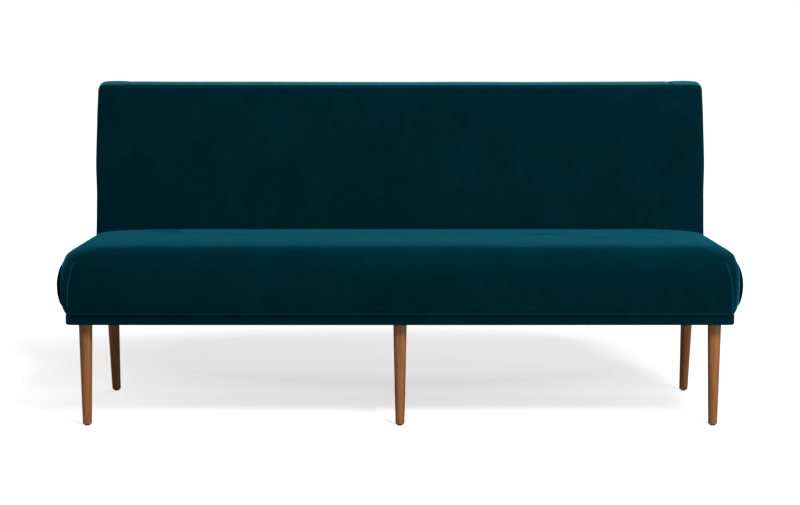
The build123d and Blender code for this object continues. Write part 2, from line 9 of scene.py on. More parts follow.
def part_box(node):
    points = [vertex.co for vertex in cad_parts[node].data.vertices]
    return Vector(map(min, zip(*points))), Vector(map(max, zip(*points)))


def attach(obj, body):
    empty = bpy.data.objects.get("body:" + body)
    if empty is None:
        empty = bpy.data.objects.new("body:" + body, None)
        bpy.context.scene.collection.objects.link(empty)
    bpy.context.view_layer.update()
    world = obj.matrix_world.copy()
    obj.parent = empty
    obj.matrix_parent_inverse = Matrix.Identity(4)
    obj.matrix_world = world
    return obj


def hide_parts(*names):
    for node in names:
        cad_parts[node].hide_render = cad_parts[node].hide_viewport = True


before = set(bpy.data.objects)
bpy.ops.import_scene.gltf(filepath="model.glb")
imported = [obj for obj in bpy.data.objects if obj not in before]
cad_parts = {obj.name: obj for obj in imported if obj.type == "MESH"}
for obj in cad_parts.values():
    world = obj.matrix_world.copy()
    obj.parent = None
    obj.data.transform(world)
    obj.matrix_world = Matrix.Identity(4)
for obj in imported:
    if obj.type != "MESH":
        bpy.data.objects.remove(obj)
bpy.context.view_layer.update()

# Lengths are in metres. Tables of small sizes are in millimetres, and mm turns them into metres.
mm = 0.001
scene = bpy.context.scene
for leftover in ("Cube", "Light", "Camera"):
    if leftover in bpy.data.objects:
        bpy.data.objects.remove(bpy.data.objects[leftover])

# Where the padding has to sit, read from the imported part
bandLow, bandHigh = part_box("base_band")
dustLow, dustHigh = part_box("dust_cover")
halfWidth = bandHigh.x
baseFront = bandLow.y
baseRear = bandHigh.y
backThickness = 97 * mm
backLean = 11.3
leanSlope = math.tan(math.radians(backLean))
# Points along an edge lie closer together this far round a seam.
fineReach = 22 * mm
# Rays that look for a surface start this far off.
castReach = 2.0
# Corners where seat and back meet widen over this stretch of height, given by start and length.
cornerRamp = (370 * mm, 80 * mm)


def backRear(z):
    return baseRear + (z - bandLow.z) * leanSlope


def backFront(z):
    return backRear(z) - backThickness


# Small helpers

def clamp(value):
    return min(max(value, 0.0), 1.0)


def smoothStep(value):
    share = clamp(value)
    return share * share * (3 - 2 * share)


def ramp(value, stretch):
    # Rises smoothly from 0 to 1 over a stretch, given by its start and its length.
    start, length = stretch
    return smoothStep((value - start) / length)


def lowCorner(low, high, z):
    # Corners where seat and back meet are tight at the rail, so that it can't be seen between them.
    return low + (high - low) * ramp(z, cornerRamp)


def catmull(before, start, end, after, share):
    row = []
    for a, b, c, d in zip(before, start, end, after):
        curve = 2 * b + (c - a) * share + (2 * a - 5 * b + 4 * c - d) * share ** 2
        row.append(0.5 * (curve + (3 * b - a - 3 * c + d) * share ** 3))
    return row


def smoothRows(rows, counts):
    # Draws given rows out into a smooth run, with a number of steps from each to the next.
    drawn = [list(rows[0])]
    for index, count in enumerate(counts):
        before = rows[max(index - 1, 0)]
        after = rows[min(index + 2, len(rows) - 1)]
        for step in range(1, count + 1):
            drawn.append(catmull(before, rows[index], rows[index + 1], after, step / count))
    return drawn


def smoothPath(points, step):
    counts = [max(1, round(math.dist(a, b) / step)) for a, b in zip(points, points[1:])]
    return [Vector(row) for row in smoothRows(points, counts)]


def markShares(halfSpan, step, fineStep, places):
    # Shares of an edge from -1 to 1, closer together round some places.
    marks = [0.0]
    while marks[-1] < halfSpan:
        near = any(abs(marks[-1] - place) < fineReach for place in places)
        marks.append(marks[-1] + (fineStep if near else step))
    marks[-1] = halfSpan
    if marks[-1] - marks[-2] < fineStep / 3:
        marks.pop(-2)
    half = [mark / halfSpan for mark in marks]
    return [-share for share in reversed(half[1:])] + half


def planRing(z, wide, front, rear, frontRadius, rearRadius, shares, counts):
    # A level outline from the rear left, round the front and back along the rear. Counts are the
    # steps of a side, a front corner, the edge between two corners and a rear corner.
    side, corner, _, rearCorner = counts
    frontX, frontY = wide - frontRadius, front + frontRadius
    rearX, rearY = wide - rearRadius, rear - rearRadius
    ring = []

    def arc(x, y, radius, startAngle, count):
        for step in range(count):
            angle = startAngle + math.pi / 2 * step / count
            ring.append(Vector((x + radius * math.cos(angle), y + radius * math.sin(angle), z)))

    for step in range(side):
        ring.append(Vector((-wide, rearY + (frontY - rearY) * step / side, z)))
    arc(-frontX, frontY, frontRadius, math.pi, corner)
    for share in shares[:-1]:
        ring.append(Vector((share * frontX, front, z)))
    arc(frontX, frontY, frontRadius, -math.pi / 2, corner)
    for step in range(side):
        ring.append(Vector((wide, frontY + (rearY - frontY) * step / side, z)))
    arc(rearX, rearY, rearRadius, 0.0, rearCorner)
    for share in reversed(shares[1:]):
        ring.append(Vector((share * rearX, rear, z)))
    arc(-rearX, rearY, rearRadius, math.pi / 2, rearCorner)
    return ring


def endFaces(start, size, counts):
    # Strips across the first or last outline, from its front edge to its rear edge.
    side, corner, edge, rearCorner = counts
    frontStart = side + corner
    rightStart = frontStart + edge
    rearStart = rightStart + corner + side + rearCorner
    rearEnd = rearStart + edge
    faces = []
    for step in range(edge):
        faces.append((frontStart + step, frontStart + step + 1, rearEnd - step - 1, rearEnd - step))
    faces.append(tuple(range(rearEnd, size)) + tuple(range(frontStart + 1)))
    faces.append(tuple(range(rightStart, rearStart + 1)))
    return [tuple(start + index for index in face) for face in faces]


def stackRings(name, rings, counts):
    size = len(rings[0])
    points = [point for ring in rings for point in ring]
    faces = []
    for level in range(len(rings) - 1):
        low, high = level * size, (level + 1) * size
        for here in range(size):
            there = (here + 1) % size
            faces.append((low + here, low + there, high + there, high + here))
    faces.extend(tuple(reversed(face)) for face in endFaces(0, size, counts))
    faces.extend(endFaces((len(rings) - 1) * size, size, counts))
    mesh = bpy.data.meshes.new(name)
    mesh.from_pydata(points, [], faces)
    mesh.update()
    return mesh


def surfaceOf(mesh):
    corners = [vertex.co.copy() for vertex in mesh.vertices]
    return BVHTree.FromPolygons(corners, [tuple(face.vertices) for face in mesh.polygons])


def castOnto(surface, points, direction, lift):
    # Carries rough points along one direction onto a surface, and lifts them a little off it.
    line = []
    for point in points:
        spot, normal = surface.ray_cast(point - castReach * direction, direction)[:2]
        if spot is not None:
            line.append(spot + normal * lift)
    return line


def nearestOn(surface, points, lift):
    line = []
    for point in points:
        spot, normal = surface.find_nearest(point)[:2]
        line.append(spot + normal * lift)
    return line


def sinkAlong(mesh, lines, width, depth):
    # Draws the cover in along its seams.
    spots = [spot for line in lines for spot in line]
    tree = KDTree(len(spots))
    for index, spot in enumerate(spots):
        tree.insert(spot, index)
    tree.balance()
    normals = [vertex.normal.copy() for vertex in mesh.vertices]
    sewn = []
    for vertex, normal in zip(mesh.vertices, normals):
        reach = tree.find(vertex.co)[2]
        if reach < width:
            vertex.co -= normal * depth * (1 - reach / width) ** 2
            sewn.append(vertex.index)
    mesh.update()
    return sewn


def unevenCover(mesh, height, size):
    # Hand-stretched fabric over foam is never quite even.
    normals = [vertex.normal.copy() for vertex in mesh.vertices]
    for vertex, normal in zip(mesh.vertices, normals):
        vertex.co += normal * height * noise.noise(vertex.co / size)
    mesh.update()


def showPiece(name, mesh, material):
    piece = bpy.data.objects.new(name, mesh)
    scene.collection.objects.link(piece)
    if not mesh.materials:
        mesh.materials.append(material)
    mesh.polygons.foreach_set("use_smooth", [True] * len(mesh.polygons))
    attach(piece, "root")
    return piece


# How long a cover settles, and how firmly its loose points are held meanwhile
settleFrames = 20
looseHold = 0.4


def settleCover(piece, sewn, most):
    # Presses the cover outwards between its seams, and keeps each point near its start.
    mesh = piece.data
    starts = [vertex.co.copy() for vertex in mesh.vertices]
    group = piece.vertex_groups.new(name="sewn")
    group.add(list(range(len(starts))), looseHold, "REPLACE")
    group.add(sewn, 1.0, "REPLACE")
    cloth = piece.modifiers.new("settle", "CLOTH")
    cloth.settings.quality = 4
    cloth.settings.mass = 0.4
    cloth.settings.tension_stiffness = 30
    cloth.settings.compression_stiffness = 30
    cloth.settings.shear_stiffness = 15
    cloth.settings.bending_stiffness = 2
    cloth.settings.air_damping = 5
    cloth.settings.vertex_group_mass = "sewn"
    cloth.settings.use_pressure = True
    cloth.settings.uniform_pressure_force = 4
    cloth.settings.effector_weights.gravity = 0
    cloth.collision_settings.use_collision = False
    cloth.point_cache.frame_start = 1
    cloth.point_cache.frame_end = settleFrames
    for number in range(1, settleFrames + 1):
        scene.frame_set(number)
    settled = piece.evaluated_get(bpy.context.evaluated_depsgraph_get())
    ends = [vertex.co.copy() for vertex in settled.data.vertices]
    piece.modifiers.remove(cloth)
    piece.vertex_groups.remove(group)
    scene.frame_set(1)
    furthest = 0.0
    for vertex, start, end in zip(mesh.vertices, starts, ends):
        move = end - start
        furthest = max(furthest, move.length)
        if move.length > most:
            move *= most / move.length
        vertex.co = start + move
    mesh.update()
    print(piece.name, "settled, furthest move in mm", round(furthest / mm, 2))


# Materials

def colour(code):
    # An sRGB hex colour as linear red, green, blue and alpha.
    parts = [int(code[start:start + 2], 16) / 255 for start in (1, 3, 5)]
    linear = [
        part / 12.92 if part <= 0.04045 else ((part + 0.055) / 1.055) ** 2.4 for part in parts
    ]
    return (*linear, 1.0)


def setInputs(tree, node, inputs):
    # Links an input that is another node's socket, and sets any other.
    for key, value in inputs.items():
        if isinstance(value, bpy.types.NodeSocket):
            tree.links.new(value, node.inputs[key])
        else:
            node.inputs[key].default_value = value


def addNode(tree, kind, settings=None, inputs=None):
    node = tree.nodes.new(kind)
    for key, value in (settings or {}).items():
        setattr(node, key, value)
    setInputs(tree, node, inputs or {})
    return node


def newMaterial(name):
    material = bpy.data.materials.new(name)
    material.use_nodes = True
    tree = material.node_tree
    shader = tree.nodes["Principled BSDF"]
    place = addNode(tree, "ShaderNodeTexCoord").outputs["Object"]
    return material, tree, shader, place


def noiseOf(tree, place, scales, detail, roughness=0.5, distortion=0.0):
    # Noise with its own number of waves to the metre along X, Y and Z
    stretched = addNode(tree, "ShaderNodeMapping", None, {"Vector": place, "Scale": scales})
    inputs = {
        "Vector": stretched.outputs[0],
        "Scale": 1.0,
        "Detail": detail,
        "Roughness": roughness,
        "Distortion": distortion,
    }
    return addNode(tree, "ShaderNodeTexNoise", None, inputs).outputs["Fac"]


def rangeOf(tree, value, source, target=(0.0, 1.0)):
    # Carries a value from one range into another.
    inputs = {"Value": value, "From Min": source[0], "From Max": source[1]}
    inputs |= {"To Min": target[0], "To Max": target[1]}
    return addNode(tree, "ShaderNodeMapRange", None, inputs).outputs[0]


def mixOf(tree, share, first, second):
    inputs = {0: share, 6: first, 7: second}
    return addNode(tree, "ShaderNodeMix", {"data_type": "RGBA"}, inputs).outputs[2]


def bumpOf(tree, height, distance, strength, under=None):
    inputs = {"Height": height, "Distance": distance, "Strength": strength}
    if under is not None:
        inputs["Normal"] = under
    return addNode(tree, "ShaderNodeBump", None, inputs).outputs[0]


def velvetMaterial(name, dark, light, sheen):
    # Teal cotton velvet: a very dark pile that turns bright where it is seen along its surface
    material, tree, shader, place = newMaterial(name)
    clouds = noiseOf(tree, place, (12.0, 12.0, 7.0), detail=3.0, roughness=0.6, distortion=0.5)
    nap = rangeOf(tree, clouds, (0.34, 0.68))
    pile = noiseOf(tree, place, (1500.0, 1500.0, 1500.0), detail=2.0)
    crush = noiseOf(tree, place, (70.0, 70.0, 50.0), detail=4.0, roughness=0.6)
    base = mixOf(tree, nap, colour(dark), colour(light))
    soft = bumpOf(tree, crush, distance=0.7 * mm, strength=0.35)
    setInputs(tree, shader, {
        "Base Color": base,
        "Roughness": 0.85,
        "IOR": 1.45,
        "Specular IOR Level": 0.0,
        "Sheen Weight": sheen,
        "Sheen Roughness": 0.42,
        "Sheen Tint": colour("#1C6C80"),
        "Normal": bumpOf(tree, pile, distance=0.35 * mm, strength=0.5, under=soft),
    })
    return material


def legMaterial():
    # Stained beech, satin varnished, with its grain down the leg
    material, tree, shader, place = newMaterial("stained_beech")
    grain = noiseOf(tree, place, (150.0, 150.0, 7.0), detail=6.0, roughness=0.6, distortion=0.8)
    fleck = noiseOf(tree, place, (900.0, 900.0, 60.0), detail=2.0)
    lighter = rangeOf(tree, grain, (0.35, 0.68))
    darker = rangeOf(tree, fleck, (0.58, 0.72), (0.0, 0.5))
    tone = mixOf(tree, lighter, colour("#5E3614"), colour("#7E4C1F"))
    finish = mixOf(tree, darker, tone, colour("#4E2B12"))
    setInputs(tree, shader, {
        "Base Color": finish,
        "Roughness": rangeOf(tree, grain, (0.3, 0.7), (0.36, 0.48)),
        "Specular IOR Level": 0.3,
        "Coat Weight": 0.08,
        "Coat Roughness": 0.22,
        "Normal": bumpOf(tree, fleck, distance=0.05 * mm, strength=0.3),
    })
    return material


def frameMaterial():
    # Kiln-dried softwood, planed but unfinished
    material, tree, shader, place = newMaterial("planed_pine")
    grain = noiseOf(tree, place, (9.0, 90.0, 90.0), detail=5.0, roughness=0.6, distortion=0.6)
    tone = mixOf(tree, grain, colour("#B98F5C"), colour("#DDBD8C"))
    setInputs(tree, shader, {
        "Base Color": tone,
        "Roughness": 0.7,
        "Normal": bumpOf(tree, grain, distance=0.1 * mm, strength=0.4),
    })
    return material


def plasticMaterial():
    # Injection-moulded nylon
    material, tree, shader, place = newMaterial("black_nylon")
    grain = noiseOf(tree, place, (2500.0, 2500.0, 2500.0), detail=1.0)
    setInputs(tree, shader, {
        "Base Color": mixOf(tree, grain, colour("#1B1714"), colour("#25201C")),
        "Roughness": 0.5,
        "Normal": bumpOf(tree, grain, distance=0.03 * mm, strength=0.3),
    })
    return material


def steelMaterial():
    # Zinc-plated steel
    material, tree, shader, place = newMaterial("zinc_plated_steel")
    cloud = noiseOf(tree, place, (180.0, 180.0, 180.0), detail=3.0)
    setInputs(tree, shader, {
        "Base Color": mixOf(tree, cloud, colour("#9FA2A6"), colour("#C4C5C3")),
        "Metallic": 1.0,
        "Roughness": rangeOf(tree, cloud, (0.3, 0.7), (0.28, 0.42)),
    })
    return material


def wovenMaterial(name, dark, light, fineness, roughness):
    # Plain weave: two sets of threads crossing. Fineness is in radians of their waves to the metre.
    material, tree, shader, place = newMaterial(name)
    # A wave texture of scale 1 turns through 20 radians in a metre.
    scale = fineness / 20.0
    waves = []
    for direction in ("X", "Y"):
        settings = {"wave_type": "BANDS", "bands_direction": direction}
        inputs = {"Vector": place, "Scale": scale, "Distortion": 0.6, "Detail": 1.0}
        waves.append(addNode(tree, "ShaderNodeTexWave", settings, inputs).outputs["Fac"])
    inputs = {0: waves[0], 1: waves[1]}
    weave = addNode(tree, "ShaderNodeMath", {"operation": "MULTIPLY"}, inputs).outputs[0]
    setInputs(tree, shader, {
        "Base Color": mixOf(tree, weave, colour(dark), colour(light)),
        "Roughness": roughness,
        "Normal": bumpOf(tree, weave, distance=0.3 * mm, strength=0.5),
    })
    return material


def boardMaterial():
    # Hardboard, brown and faintly fibrous
    material, tree, shader, place = newMaterial("hardboard")
    fibre = noiseOf(tree, place, (220.0, 220.0, 220.0), detail=5.0, roughness=0.7)
    setInputs(tree, shader, {
        "Base Color": mixOf(tree, fibre, colour("#5A3D26"), colour("#7A5737")),
        "Roughness": 0.75,
        "Normal": bumpOf(tree, fibre, distance=0.1 * mm, strength=0.4),
    })
    return material


velvet = velvetMaterial("cotton_velvet_teal", "#001319", "#00171E", 1.0)
# The end panels get a darker copy of the velvet with little sheen, painted shade that makes them
# look darker from the front.
shadedEndVelvet = velvetMaterial("cotton_velvet_teal_end_painted_shade", "#000A0E", "#000E13", 0.12)
# The seat's seams get a lighter copy of the velvet, a painted highlight for the light a seam
# catches where it folds the pile open.
seamHighlightVelvet = velvetMaterial("cotton_velvet_teal_seam_highlight", "#032832", "#07333E", 1.0)
# The back's top edge gets a lighter copy of the velvet, a painted highlight for the light that
# falls on it.
topHighlightVelvet = velvetMaterial("cotton_velvet_teal_top_painted_highlight", "#0F3C47", "#13444F", 1.0)
legWood = legMaterial()
frameWood = frameMaterial()
nylon = plasticMaterial()
steel = steelMaterial()
burlap = wovenMaterial("jute_burlap", "#6E5636", "#B49870", 700.0, 0.95)
dustCloth = wovenMaterial("black_spun_cloth", "#0C0C0D", "#1D1D1F", 1200.0, 0.9)
hardboard = boardMaterial()

# The first name that a CAD node's own name starts with gives its material.
nodeFinishes = {
    "leg_block": frameWood,
    "leg_hanger": steel,
    "leg_t_nuts": steel,
    "leg_": legWood,
    "glide_": nylon,
    "outside_back_board": hardboard,
    "frame_screws": steel,
    "seat_springs": steel,
    "spring_clips": steel,
    "back_webbing": burlap,
    "seat_deck_cloth": burlap,
    "dust_cover": dustCloth,
    "seat_top_cover": velvet,
    "seat_end_panel": velvet,
    "inside_back_cover": velvet,
    "outside_back_cover": velvet,
    "back_top_boxing": velvet,
    "back_end_boxing": velvet,
    "base_band": velvet,
    "": frameWood,
}
for nodeName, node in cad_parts.items():
    fitting = (stuff for start, stuff in nodeFinishes.items() if nodeName.startswith(start))
    finish = next(fitting)
    if not node.material_slots:
        node.data.materials.append(finish)
    for materialSlot in node.material_slots:
        materialSlot.material = finish
print("materials are on", len(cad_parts), "frame nodes")


# Node trees for what follows a line or a rule

def newTree(name, **sockets):
    # A tree with one geometry output and named inputs, each given with its kind of socket
    tree = bpy.data.node_groups.new(name, "GeometryNodeTree")
    tree.interface.new_socket(name="Geometry", in_out="OUTPUT", socket_type="NodeSocketGeometry")
    for socketName, kind in sockets.items():
        tree.interface.new_socket(name=socketName, in_out="INPUT", socket_type="NodeSocket" + kind)
    return tree, tree.nodes.new("NodeGroupInput").outputs


def closeTree(tree, geometry, material):
    whole = addNode(tree, "GeometryNodeRealizeInstances", None, {"Geometry": geometry})
    inputs = {"Geometry": whole.outputs[0], "Material": material}
    painted = addNode(tree, "GeometryNodeSetMaterial", None, inputs)
    addNode(tree, "NodeGroupOutput", None, {"Geometry": painted.outputs[0]})


def weltTree():
    # A round welt swept along every line of a wire mesh
    tree, given = newTree("weltAlongLines", Lines="Geometry", Radius="Float", Material="Material")
    line = addNode(tree, "GeometryNodeMeshToCurve", None, {"Mesh": given["Lines"]})
    ring = addNode(tree, "GeometryNodeCurvePrimitiveCircle", {"mode": "RADIUS"}, {"Resolution": 8})
    tree.links.new(given["Radius"], ring.inputs["Radius"])
    inputs = {"Curve": line.outputs[0], "Profile Curve": ring.outputs[0], "Fill Caps": True}
    sweep = addNode(tree, "GeometryNodeCurveToMesh", None, inputs)
    closeTree(tree, sweep.outputs[0], given["Material"])
    return tree


def bandTree():
    # A rounded section swept round a rounded rectangle
    sizes = dict.fromkeys(("Width", "Depth", "Corner", "Thickness", "Height", "Edge"), "Float")
    tree, given = newTree("bandRoundBase", **sizes, Middle="Vector", Material="Material")

    def roundedFrame(width, height, radius, count):
        sizes = {"Width": given[width], "Height": given[height]}
        corners = addNode(tree, "GeometryNodeCurvePrimitiveQuadrilateral", None, sizes)
        inputs = {"Curve": corners.outputs[0], "Count": count, "Radius": given[radius]}
        return addNode(tree, "GeometryNodeFilletCurve", {"mode": "POLY"}, inputs).outputs[0]

    run = roundedFrame("Width", "Depth", "Corner", 10)
    fine = addNode(tree, "GeometryNodeSubdivideCurve", None, {"Curve": run, "Cuts": 3})
    inputs = {"Curve": fine.outputs[0]}
    upright = addNode(tree, "GeometryNodeSetCurveNormal", {"mode": "Z_UP"}, inputs)
    section = roundedFrame("Thickness", "Height", "Edge", 5)
    inputs = {"Curve": upright.outputs[0], "Profile Curve": section}
    sweep = addNode(tree, "GeometryNodeCurveToMesh", None, inputs)
    inputs = {"Geometry": sweep.outputs[0], "Translation": given["Middle"]}
    moved = addNode(tree, "GeometryNodeTransform", None, inputs)
    closeTree(tree, moved.outputs[0], given["Material"])
    return tree


def stapleTree():
    # Flat wire staples at even steps along every line of a wire mesh
    kinds = {"Lines": "Geometry", "Step": "Float", "Size": "Vector", "Material": "Material"}
    tree, given = newTree("staplesAlongLines", **kinds)
    line = addNode(tree, "GeometryNodeMeshToCurve", None, {"Mesh": given["Lines"]})
    inputs = {"Curve": line.outputs[0], "Length": given["Step"]}
    spots = addNode(tree, "GeometryNodeCurveToPoints", {"mode": "LENGTH"}, inputs)
    staple = addNode(tree, "GeometryNodeMeshCube", None, {"Size": given["Size"]})
    inputs = {"Vector": spots.outputs["Tangent"]}
    along = addNode(tree, "FunctionNodeAlignRotationToVector", {"axis": "X"}, inputs)
    inputs = {
        "Points": spots.outputs["Points"],
        "Instance": staple.outputs["Mesh"],
        "Rotation": along.outputs[0],
    }
    placed = addNode(tree, "GeometryNodeInstanceOnPoints", None, inputs)
    closeTree(tree, placed.outputs[0], given["Material"])
    return tree


def wireMesh(name, lines):
    points, edges = [], []
    for line in lines:
        start = len(points)
        points.extend(line)
        edges.extend((start + step, start + step + 1) for step in range(len(line) - 1))
    mesh = bpy.data.meshes.new(name)
    mesh.from_pydata(points, edges, [])
    return mesh


def grownMesh(name, tree, source, values):
    # Keeps the mesh that a node tree makes, and drops the modifier.
    holder = bpy.data.objects.new(name + "_source", source)
    scene.collection.objects.link(holder)
    modifier = holder.modifiers.new("grow", "NODES")
    modifier.node_group = tree
    for item in tree.interface.items_tree:
        if item.in_out == "INPUT" and item.name in values:
            modifier[item.identifier] = values[item.name]
    holder.update_tag()
    bpy.context.view_layer.update()
    grown = holder.evaluated_get(bpy.context.evaluated_depsgraph_get())
    mesh = bpy.data.meshes.new_from_object(grown)
    mesh.name = name
    bpy.data.objects.remove(holder)
    return mesh


welts = weltTree()

# Seat padding. Each row is a level: how far its side stands past the base, its height, how far its
# rear edge has come forward from the back, and its front corners' radius. A ramp is a stretch of
# half width or height over which something sets in, as its start and its length.
seat = {
    "rows": [
        (-1.0, 298.4, 0.0, 30.0), (6.5, 301.2, 0.0, 33.0), (16.5, 308.0, 0.0, 36.0),
        (26.0, 320.0, 0.0, 38.0), (32.0, 342.0, 0.0, 38.0), (33.8, 365.0, 0.0, 38.0),
        (33.3, 383.0, 0.0, 38.0), (30.8, 404.0, 0.0, 39.0), (25.6, 421.0, 0.0, 41.0),
        (15.0, 434.5, 0.0, 44.0), (3.2, 447.0, 0.2, 48.0), (-8.2, 457.5, 1.0, 54.0),
        (-22.0, 466.0, 3.5, 62.0), (-39.0, 473.0, 8.0, 72.0), (-70.0, 476.5, 16.0, 88.0),
        (-120.0, 478.8, 34.0, 106.0), (-200.0, 480.0, 75.0, 110.0), (-270.0, 480.2, 130.0, 110.0),
    ],
    "steps": [1, 3, 3, 6, 6, 5, 5, 5, 4, 5, 4, 4, 4, 4, 5, 6, 5],
    "fullOffset": 34,
    "frontShare": 26 / 34,
    "rearGap": 0.5 * mm,
    "rearRadius": 14 * mm,
    "lowRearRadius": 5 * mm,
    "sideSteps": 84,
    "cornerSteps": 14,
    "rearCornerSteps": 5,
    "markStep": 13 * mm,
    "fineStep": 4 * mm,
    "cornerMark": 38 * mm,
    "outerRamp": (600 * mm, 240 * mm),
    "bow": 4 * mm,
    "bowRear": 0.1,
    "bowLength": 0.4,
    "sideDraws": [
        (38 * mm, 24 * mm), (78 * mm, 16.5 * mm), (112 * mm, 8 * mm), (150 * mm, 3.5 * mm),
    ],
    "panelFade": 14 * mm,
    "topRamp": (440 * mm, 30 * mm),
    "endRamp": (680 * mm, 170 * mm),
    "dropReach": 100 * mm,
    "rearDrop": 6 * mm,
    "rearEndDrop": 10 * mm,
    "panelRamp": (800 * mm, 60 * mm),
    "panelFront": 52 * mm,
    "panelRear": 40 * mm,
    "panelHeight": 124 * mm,
    "panelRadius": 62 * mm,
    "panelArcSteps": 6,
    "panelCrease": 1.2 * mm,
    "creaseWidth": 4 * mm,
    "dart": [
        (855.5, 301.5), (855.5, 325.0), (855.0, 345.0), (853.0, 370.0),
        (848.0, 400.0), (841.0, 424.0), (835.5, 436.0),
    ],
    "seamRise": 3 * mm,
    "seamStep": 3 * mm,
    "seamWidth": 6 * mm,
    "seamDepth": 1.4 * mm,
    "unevenHeight": 0.8 * mm,
    "unevenSize": 0.16,
    "heldBelow": 305 * mm,
    "settleMost": 1.2 * mm,
    "weltRadius": 1.3 * mm,
    "weltLift": 0.5 * mm,
}
# The seam round the seat's foot, as a level outline near the surface
foot = {
    "drop": 1.5 * mm,
    "side": 3 * mm,
    "front": 2 * mm,
    "pastPanel": 30 * mm,
    "frontRadius": 33 * mm,
    "rearRadius": 1 * mm,
    "shares": [-1.0, -0.5, 0.0, 0.5, 1.0],
    "counts": (40, 10, 4, 1),
    "step": 4 * mm,
}
panelFront = baseFront + seat["panelFront"]
panelRear = backFront(bandHigh.z) - seat["panelRear"]


def sideDraw(fromFront):
    # How far the seat's widest level is drawn in at the side, outside the end panel
    rows = seat["sideDraws"]
    if fromFront <= rows[0][0]:
        return rows[0][1]
    for (lowReach, low), (highReach, high) in zip(rows, rows[1:]):
        if fromFront <= highReach:
            return low + (high - low) * (fromFront - lowReach) / (highReach - lowReach)
    return rows[-1][1]


def panelDepth(y, z):
    # How far inside the end panel's outline a point of the seat's side lies
    radius = seat["panelRadius"]
    alongY = abs(y - (panelFront + panelRear) / 2) - (panelRear - panelFront) / 2 + radius
    alongZ = abs(z - bandHigh.z) - seat["panelHeight"] + radius
    outside = math.hypot(max(alongY, 0.0), max(alongZ, 0.0))
    return radius - outside - min(max(alongY, alongZ), 0.0)


def seatMesh():
    cornerMark = halfWidth - seat["cornerMark"]
    shares = markShares(cornerMark, seat["markStep"], seat["fineStep"], [cornerMark])
    counts = (seat["sideSteps"], seat["cornerSteps"], len(shares) - 1, seat["rearCornerSteps"])
    mostDraw = seat["sideDraws"][0][1]
    topStart, topLength = seat["topRamp"]
    rings = []
    for offset, level, rearInset, radius in smoothRows(seat["rows"], seat["steps"]):
        z = level * mm
        frontShare = seat["frontShare"] if offset > 0 else 1.0
        front = baseFront - offset * mm * frontShare
        rear = backFront(z) - seat["rearGap"] - rearInset * mm
        frontRadius = min(radius * mm, (rear - front) / 2)
        rearRadius = lowCorner(seat["lowRearRadius"], seat["rearRadius"], z)
        swell = clamp(offset / seat["fullOffset"])
        wide = halfWidth + offset * mm - mostDraw * swell
        ring = planRing(z, wide, front, rear, frontRadius, rearRadius, shares, counts)
        nearTop = clamp((z - topStart) / topLength)
        for point in ring:
            inside = panelDepth(point.y, z)
            draw = sideDraw(point.y - front) * math.exp(-max(inside, 0.0) / seat["panelFade"])
            outer = ramp(abs(point.x), seat["outerRamp"])
            point.x += math.copysign((mostDraw - draw) * swell * outer, point.x)
            crease = seat["panelCrease"] * math.exp(-(inside / seat["creaseWidth"]) ** 2)
            point.x -= math.copysign(ramp(abs(point.x), seat["panelRamp"]) * crease, point.x)
            forward = clamp((seat["bowRear"] - point.y) / seat["bowLength"])
            point.y -= seat["bow"] * swell * forward * (1 - (point.x / halfWidth) ** 2)
            toBack = clamp((point.y - backFront(z) + seat["dropReach"]) / seat["dropReach"])
            drop = seat["rearDrop"] + ramp(abs(point.x), seat["endRamp"]) * seat["rearEndDrop"]
            point.z -= nearTop * toBack ** 2 * drop
        rings.append(ring)
    return stackRings("seat_upholstery", rings, counts)


def seatLines(mesh, lift):
    # The seams round the foot, of both end panels and of both front corners, on the seat's surface
    surface = surfaceOf(mesh)
    low, high = bandHigh.z + seat["seamRise"], bandHigh.z + seat["panelHeight"]
    ring = planRing(low - foot["drop"], halfWidth + foot["side"], baseFront - foot["front"],
                    panelRear + foot["pastPanel"], foot["frontRadius"], foot["rearRadius"],
                    foot["shares"], foot["counts"])
    # The seam stops short of the rear edge, which the back hides.
    side, corner, edge = foot["counts"][:3]
    seen = ring[:2 * (side + corner) + edge]
    lines = [nearestOn(surface, smoothPath(seen, foot["step"]), lift)]
    radius = seat["panelRadius"]
    arcSteps = seat["panelArcSteps"]
    outline = [(panelFront, low)]
    for centre, startAngle in ((panelFront + radius, math.pi), (panelRear - radius, math.pi / 2)):
        for step in range(arcSteps + 1):
            angle = startAngle - math.pi / 2 * step / arcSteps
            y, z = centre + radius * math.cos(angle), high - radius * (1 - math.sin(angle))
            outline.append((y, z))
    outline.append((panelRear, low))
    for side in (-1, 1):
        rough = smoothPath([(0.0, y, z) for y, z in outline], seat["seamStep"])
        lines.append(castOnto(surface, rough, Vector((-side, 0, 0)), lift))
        dart = [(side * x * mm, 0.0, z * mm) for x, z in seat["dart"]]
        rough = smoothPath(dart, seat["seamStep"])
        lines.append(castOnto(surface, rough, Vector((0, 1, 0)), lift))
    return lines


seatCover = seatMesh()
sewn = sinkAlong(seatCover, seatLines(seatCover, 0.0), seat["seamWidth"], seat["seamDepth"])
unevenCover(seatCover, seat["unevenHeight"], seat["unevenSize"])
seatPiece = showPiece("seat_upholstery", seatCover, velvet)
# Faces inside the end panels' outlines take the darker velvet, painted shade.
seatCover.materials.append(shadedEndVelvet)
for face in seatCover.polygons:
    if abs(face.center.x) > seat["panelRamp"][0] and panelDepth(face.center.y, face.center.z) > 0:
        face.material_index = 1
heldPoints = [vertex.index for vertex in seatCover.vertices if vertex.co.z < seat["heldBelow"]]
settleCover(seatPiece, sewn + heldPoints, seat["settleMost"])
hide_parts("seat_top_cover", "seat_end_panel_left", "seat_end_panel_right", "seat_foam")
# The seat's welts take the lighter velvet, a painted highlight.
values = {"Radius": seat["weltRadius"], "Material": seamHighlightVelvet}
seatWires = wireMesh("seat_lines", seatLines(seatCover, seat["weltLift"]))
showPiece("seat_seams", grownMesh("seat_seams", welts, seatWires, values), seamHighlightVelvet)
print("seat is up:", len(seatCover.vertices), "points")

